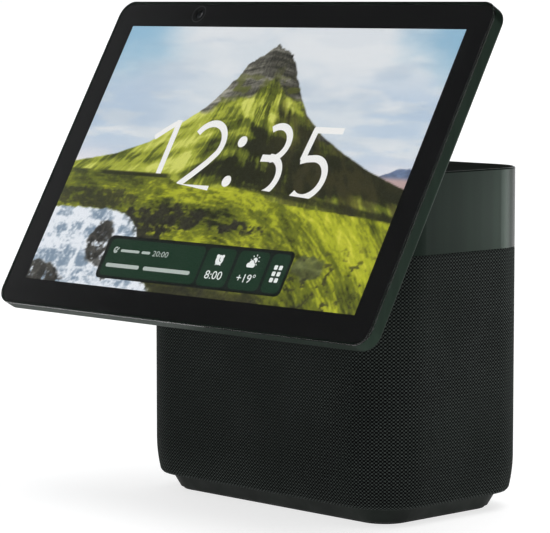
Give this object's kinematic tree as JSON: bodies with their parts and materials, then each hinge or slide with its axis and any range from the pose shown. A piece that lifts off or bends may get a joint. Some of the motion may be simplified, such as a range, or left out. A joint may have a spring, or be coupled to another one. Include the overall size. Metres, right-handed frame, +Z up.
{
  "type": "smart display",
  "caption": "Cloth-wrapped loudspeaker with rounded corners, a smooth band round its top and a wide tilting touch screen hinged to its top front edge.",
  "frame": {"origin": "middle of the footprint, on the surface the object stands on", "axes": "+Z up, -Y towards the user in front of the screen, +X to the right as seen from the front"},
  "size_m": [0.2432, 0.1518, 0.2309],
  "materials": {
    "cloth": "fine dark green-grey knitted mesh",
    "green_metal_finish": "satin dark green, fine grain",
    "dark_green_plastic": "matt dark green, fine moulded grain",
    "black_plastic": "matt black, fine moulded grain",
    "black_panel": "satin black",
    "soft_rubber": "matt",
    "screw_steel": "zinc plated",
    "bracket_steel": "pressed, zinc plated",
    "pin_steel": "ground",
    "disc_brass": "plain",
    "arm_alloy": "die-cast, painted dark green",
    "magnet_iron": "ferrite, matt",
    "plate_iron": "zinc plated",
    "basket_steel": "black powder coat",
    "cone_fibre": "coated paper",
    "spider_cloth": "phenolic-dipped weave",
    "coil_copper": "enamelled winding",
    "circuit_board": "solder resist",
    "sink_aluminium": "milled",
    "ribbon_film": "polyimide ribbon",
    "antenna_copper": "etched foil",
    "front_glass": "gloss, thin easing all round",
    "bezel_print": "ceramic ink behind the glass",
    "picture": "lit picture behind the cover glass",
    "light_guide": "white reflector",
    "midframe_alloy": "stamped",
    "lens_glass": "coated",
    "button_plastic": "satin"
  },
  "bodies": {
    "speaker_body": {"foot_pad": "soft_rubber", "base_tray": "dark_green_plastic", "base_screws": "screw_steel", "grille_core": "black_plastic", "fabric_cover": "cloth", "top_band": "green_metal_finish", "top_panel": "black_panel", "hinge_cover": "black_plastic", "hinge_bracket": "bracket_steel", "bracket_screws": "screw_steel", "hinge_pin": "pin_steel", "hinge_nuts": "screw_steel", "hinge_discs": "disc_brass", "front_baffle": "black_plastic", "baffle_gasket": "soft_rubber", "baffle_screws": "screw_steel", "rear_enclosure": "black_plastic", "woofer_basket": "basket_steel", "woofer_magnet": "magnet_iron", "woofer_yoke": "plate_iron", "woofer_top_plate": "plate_iron", "woofer_spider": "spider_cloth", "woofer_surround": "soft_rubber", "tweeter_left": "basket_steel", "tweeter_right": "basket_steel", "passive_frame_left": "black_plastic", "passive_frame_right": "black_plastic", "passive_surround_left": "soft_rubber", "passive_surround_right": "soft_rubber", "main_board": "circuit_board", "heat_sink": "sink_aluminium", "amplifier_board": "circuit_board", "power_board": "circuit_board", "power_inlet": "black_plastic", "rear_port_panel": "black_plastic", "button_board": "circuit_board", "antenna_left": "antenna_copper", "antenna_right": "antenna_copper", "display_cable": "ribbon_film"},
    "display": {"display_shell": "green_metal_finish", "cover_glass": "front_glass", "bezel_mask": "bezel_print", "lcd_panel": "picture", "backlight_unit": "light_guide", "display_midframe": "midframe_alloy", "display_board": "circuit_board", "camera_module": "black_plastic", "camera_lens": "lens_glass", "hinge_arm": "arm_alloy", "arm_screws": "screw_steel", "arm_cover": "dark_green_plastic"},
    "camera_shutter": {"camera_shutter": "button_plastic"},
    "volume_down_button": {"volume_down_button": "button_plastic"},
    "action_button": {"action_button": "button_plastic"},
    "mic_mute_button": {"mic_mute_button": "button_plastic"},
    "volume_up_button": {"volume_up_button": "button_plastic"},
    "woofer_cone": {"woofer_cone": "cone_fibre", "woofer_voice_coil": "coil_copper"},
    "passive_cone_left": {"passive_cone_left": "cone_fibre"},
    "passive_cone_right": {"passive_cone_right": "cone_fibre"}
  },
  "joints": [
    {"name": "display_tilt", "type": "hinge", "parent": "speaker_body", "child": "display", "pos_m": [0, -0.0415, 0.1425], "axis": [-1, 0, 0], "range_deg": [-30, 25]},
    {"name": "camera_shutter_slide", "type": "slide", "parent": "display", "child": "camera_shutter", "axis": [-1, 0, 0], "range_m": [0, 0.01]},
    {"name": "volume_down_press", "type": "slide", "parent": "speaker_body", "child": "volume_down_button", "axis": [0, 0, -1], "range_m": [0, 0.001], "stiffness_N_per_m": 1200},
    {"name": "action_press", "type": "slide", "parent": "speaker_body", "child": "action_button", "axis": [0, 0, -1], "range_m": [0, 0.001], "stiffness_N_per_m": 1200},
    {"name": "mic_mute_press", "type": "slide", "parent": "speaker_body", "child": "mic_mute_button", "axis": [0, 0, -1], "range_m": [0, 0.001], "stiffness_N_per_m": 1200},
    {"name": "volume_up_press", "type": "slide", "parent": "speaker_body", "child": "volume_up_button", "axis": [0, 0, -1], "range_m": [0, 0.001], "stiffness_N_per_m": 1200},
    {"name": "woofer_excursion", "type": "slide", "parent": "speaker_body", "child": "woofer_cone", "axis": [0, -1, 0], "range_m": [-0.004, 0.004], "stiffness_N_per_m": 900, "deforming": ["woofer_surround", "woofer_spider"]},
    {"name": "passive_excursion_left", "type": "slide", "parent": "speaker_body", "child": "passive_cone_left", "axis": [-1, 0, 0], "range_m": [-0.003, 0.003], "stiffness_N_per_m": 500, "deforming": ["passive_surround_left"]},
    {"name": "passive_excursion_right", "type": "slide", "parent": "speaker_body", "child": "passive_cone_right", "axis": [1, 0, 0], "range_m": [-0.003, 0.003], "stiffness_N_per_m": 500, "deforming": ["passive_surround_right"]}
  ]
}
